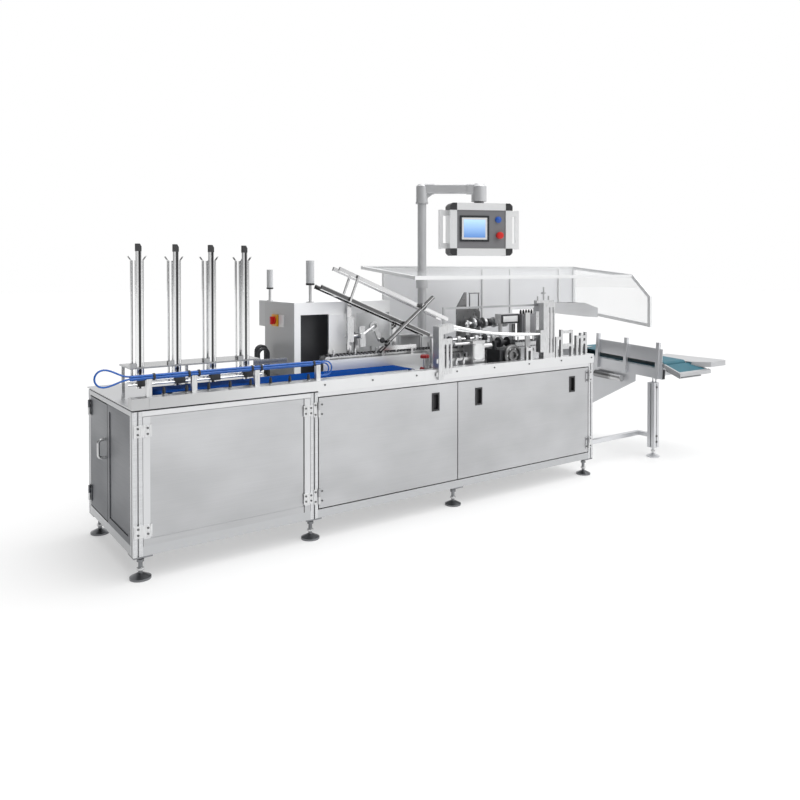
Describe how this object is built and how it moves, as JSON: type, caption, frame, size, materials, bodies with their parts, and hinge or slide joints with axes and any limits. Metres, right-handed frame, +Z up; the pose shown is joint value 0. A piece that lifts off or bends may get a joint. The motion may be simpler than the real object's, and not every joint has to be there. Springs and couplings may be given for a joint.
{
  "type": "automatic cartoner",
  "caption": "Horizontal cartoning machine: profile-framed cabinet with doors, stick magazine over a flat belt, carton chute, guard hood, swing-arm operator panel and cross discharge conveyor.",
  "frame": {"origin": "centre of the machine's outline on the floor", "axes": "+X along the machine to its discharge end, +Y from the operator's side to the rear, +Z up"},
  "size_m": [4.8159, 1.16, 2.047],
  "materials": {
    "frame_profile": "satin anodised profile",
    "sheet_steel": "brushed stainless sheet",
    "fitting_steel": "machined fittings, satin",
    "bright_rod": "polished bars and rods",
    "painted_housing": "light powder coat",
    "dark_panel": "dark satin coat",
    "black_rubber": "matt gasket",
    "black_plastic": "moulded, matt",
    "blue_hose": "blue air hose",
    "blue_belt": "smooth belt cover",
    "green_belt": "smooth belt cover",
    "chain_steel": "oiled roller chain",
    "clear_sheet": "clear guard sheet",
    "switch_yellow": "yellow switch plate",
    "switch_red": "red switch handle",
    "lamp_lens": "frosted lamp, unlit",
    "arm_casting": "light grey coat",
    "panel_grey": "grey satin coat",
    "panel_trim": "satin anodised trim",
    "screen_glass": "dark touch screen, off"
  },
  "bodies": {
    "machine": {"frame_posts": "frame_profile", "frame_long_rails": "frame_profile", "frame_cross_rails": "frame_profile", "levelling_feet": "fitting_steel", "floor_pan": "sheet_steel", "front_left_panel": "sheet_steel", "hinge_plates": "fitting_steel", "end_panels": "sheet_steel", "rear_panels": "sheet_steel", "deck_seal": "black_rubber", "deck_plate": "sheet_steel", "front_beam": "sheet_steel", "magazine_guides": "fitting_steel", "magazine_caps": "black_plastic", "magazine_plate": "fitting_steel", "deck_posts": "fitting_steel", "hose_bundle": "blue_hose", "air_hose_loop": "blue_hose", "air_hose_drops": "blue_hose", "infeed_bed": "sheet_steel", "infeed_belt": "blue_belt", "chain_tracks": "fitting_steel", "carton_chain": "chain_steel", "chain_lugs": "fitting_steel", "opener_housing": "painted_housing", "dark_fittings": "dark_panel", "rear_box": "painted_housing", "switch_plate": "switch_yellow", "signal_poles": "fitting_steel", "signal_lamps": "lamp_lens", "chute_rails": "bright_rod", "chute_supports": "fitting_steel", "suction_arm": "fitting_steel", "front_uprights": "fitting_steel", "folding_rods": "bright_rod", "drive_units": "fitting_steel", "exit_guides": "fitting_steel", "outfeed_cover": "sheet_steel", "hood_posts": "frame_profile", "hood_rails": "frame_profile", "hood_back": "sheet_steel", "hood_skins": "clear_sheet", "hmi_column": "arm_casting", "discharge_frame": "fitting_steel", "discharge_belt": "green_belt", "discharge_guides": "fitting_steel", "discharge_leg": "fitting_steel", "discharge_tables": "sheet_steel"},
    "middle_door": {"middle_door": "sheet_steel", "middle_door_pull": "black_plastic"},
    "right_door": {"right_door": "sheet_steel", "right_door_pulls": "black_plastic"},
    "left_end_door": {"left_end_door": "sheet_steel", "end_door_handle": "fitting_steel"},
    "hmi_arm": {"hmi_arm": "arm_casting"},
    "hmi_box": {"hmi_box": "panel_grey", "hmi_trim": "panel_trim", "hmi_corners": "black_plastic", "hmi_screen": "screen_glass"},
    "switch_knob": {"switch_knob": "switch_red"}
  },
  "joints": [
    {"name": "middle_door_hinge", "type": "hinge", "parent": "machine", "child": "middle_door", "pos_m": [-1.3245, -0.418, 0.47], "axis": [0, 0, -1], "range_deg": [0, 110]},
    {"name": "right_door_hinge", "type": "hinge", "parent": "machine", "child": "right_door", "pos_m": [0.8555, -0.418, 0.47], "axis": [0, 0, 1], "range_deg": [0, 110]},
    {"name": "left_end_door_hinge", "type": "hinge", "parent": "machine", "child": "left_end_door", "pos_m": [-2.3145, 0.382, 0.47], "axis": [0, 0, -1], "range_deg": [0, 110]},
    {"name": "panel_arm_swing", "type": "hinge", "parent": "machine", "child": "hmi_arm", "pos_m": [-0.2065, 0.14, 1.93], "axis": [0, 0, 1], "range_deg": [-90, 90]},
    {"name": "panel_box_turn", "type": "hinge", "parent": "hmi_arm", "child": "hmi_box", "pos_m": [0.11297, -0.08369, 1.94], "axis": [0, 0, 1], "range_deg": [-90, 90]},
    {"name": "main_switch_turn", "type": "hinge", "parent": "machine", "child": "switch_knob", "pos_m": [-1.2465, 0.273, 1.147], "axis": [-1, 0, 0], "range_deg": [0, 90]}
  ]
}
